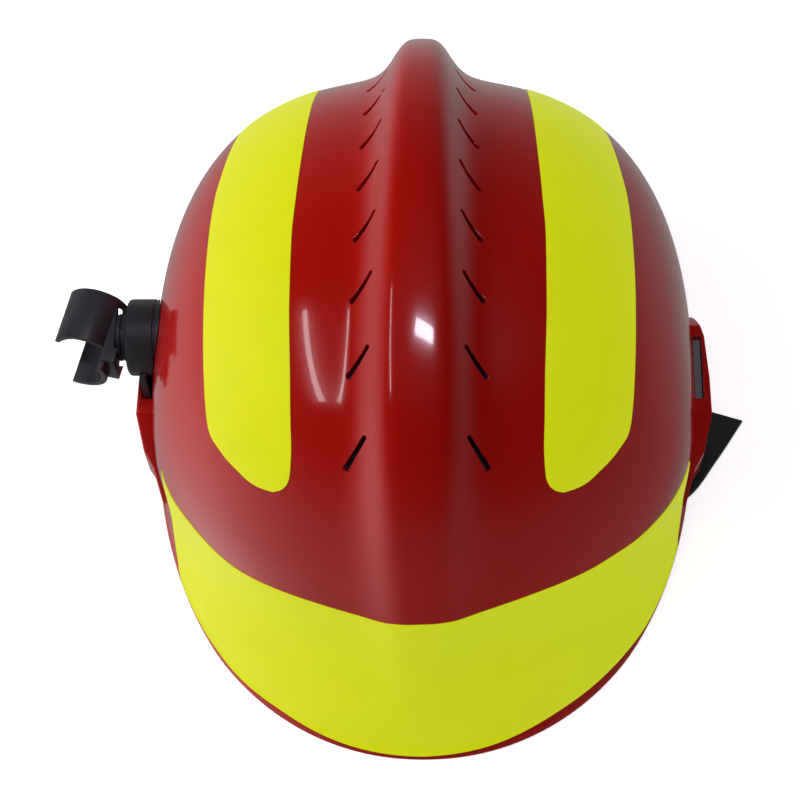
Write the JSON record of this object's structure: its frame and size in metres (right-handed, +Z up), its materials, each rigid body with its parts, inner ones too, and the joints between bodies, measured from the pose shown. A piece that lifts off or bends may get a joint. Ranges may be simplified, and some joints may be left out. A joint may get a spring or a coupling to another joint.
{
  "type": "firefighter helmet",
  "caption": "Jet-style firefighter helmet: ridged vented shell with peak, reflective stickers, ratchet head harness, chin strap with buckle and a pivoting side torch clip.",
  "frame": {"origin": "centre of the whole part's box at the height of the rim lands it stands on", "axes": "+Z up through the crown, -Y the way the wearer looks, +X the wearer's left"},
  "size_m": [0.2912, 0.2958, 0.1613],
  "materials": {
    "shell_red": "glossy injection-moulded thermoplastic",
    "reflective_yellow": "fluorescent lime-yellow retroreflective film",
    "foam": "closed-cell foam",
    "leather": "soft leather over padding",
    "webbing": "woven polyester webbing",
    "steel": "plated steel",
    "grey_plastic": "moulded polyamide",
    "button_red": "moulded acetal",
    "black_plastic": "matt black glass-filled polyamide"
  },
  "bodies": {
    "helmet": {"shell": "shell_red", "band_sticker_left": "reflective_yellow", "band_sticker_right": "reflective_yellow", "front_sticker": "reflective_yellow", "liner": "foam", "pocket_plug": "grey_plastic", "headband": "black_plastic", "sweatband": "leather", "band_guide_left": "black_plastic", "band_guide_right": "black_plastic", "crown_strap_long": "webbing", "crown_strap_cross": "webbing", "crown_pad": "foam", "hanger_front": "black_plastic", "hanger_rear": "black_plastic", "hanger_left": "black_plastic", "hanger_right": "black_plastic", "strap_junction_left": "black_plastic", "strap_junction_right": "black_plastic", "strap_anchor_front_left": "black_plastic", "anchor_rivet_front_left": "steel", "strap_anchor_rear_left": "black_plastic", "anchor_rivet_rear_left": "steel", "strap_anchor_front_right": "black_plastic", "anchor_rivet_front_right": "steel", "strap_anchor_rear_right": "black_plastic", "anchor_rivet_rear_right": "steel", "webbing_front_left": "webbing", "webbing_rear_left": "webbing", "webbing_front_right": "webbing", "webbing_rear_right": "webbing", "webbing_tail": "webbing", "chin_webbing_left": "webbing", "chin_pad": "leather", "buckle_male": "black_plastic", "buckle_female": "black_plastic", "button_spring": "steel", "chin_webbing_right": "webbing"},
    "lamp_mount": {"lamp_bracket": "black_plastic", "lamp_washer": "steel"},
    "lamp_arm": {"lamp_disc": "black_plastic", "torch_clip": "black_plastic", "lamp_pivot_screw": "steel"},
    "nape": {"nape_strap": "black_plastic", "ratchet_housing": "black_plastic", "nape_pad": "leather"},
    "knob": {"ratchet_knob": "black_plastic", "ratchet_pinion": "grey_plastic", "ratchet_screw": "steel"},
    "button": {"buckle_button": "button_red"}
  },
  "joints": [
    {"name": "bracket_slide", "type": "slide", "parent": "helmet", "child": "lamp_mount", "axis": [0, 0, 1], "range_m": [0, 0.03]},
    {"name": "lamp_tilt", "type": "hinge", "parent": "lamp_mount", "child": "lamp_arm", "pos_m": [-0.1153, 0.0142, 0.062], "axis": [-1, 0, 0], "range_deg": [-80, 80]},
    {"name": "nape_adjust", "type": "slide", "parent": "helmet", "child": "nape", "axis": [0, -1, 0], "range_m": [0, 0.012]},
    {"name": "ratchet_turn", "type": "hinge", "parent": "nape", "child": "knob", "pos_m": [0.0067, 0.1202, 0.026], "axis": [0, 1, 0], "range_deg": [0, 91.5]},
    {"name": "button_press", "type": "slide", "parent": "helmet", "child": "button", "axis": [0, 0, -1], "range_m": [0, 0.002], "stiffness_N_per_m": 300, "deforming": ["button_spring"]}
  ],
  "couplings": [
    {"joint": "ratchet_turn", "follows": "nape_adjust", "rad_per_m": 133}
  ]
}
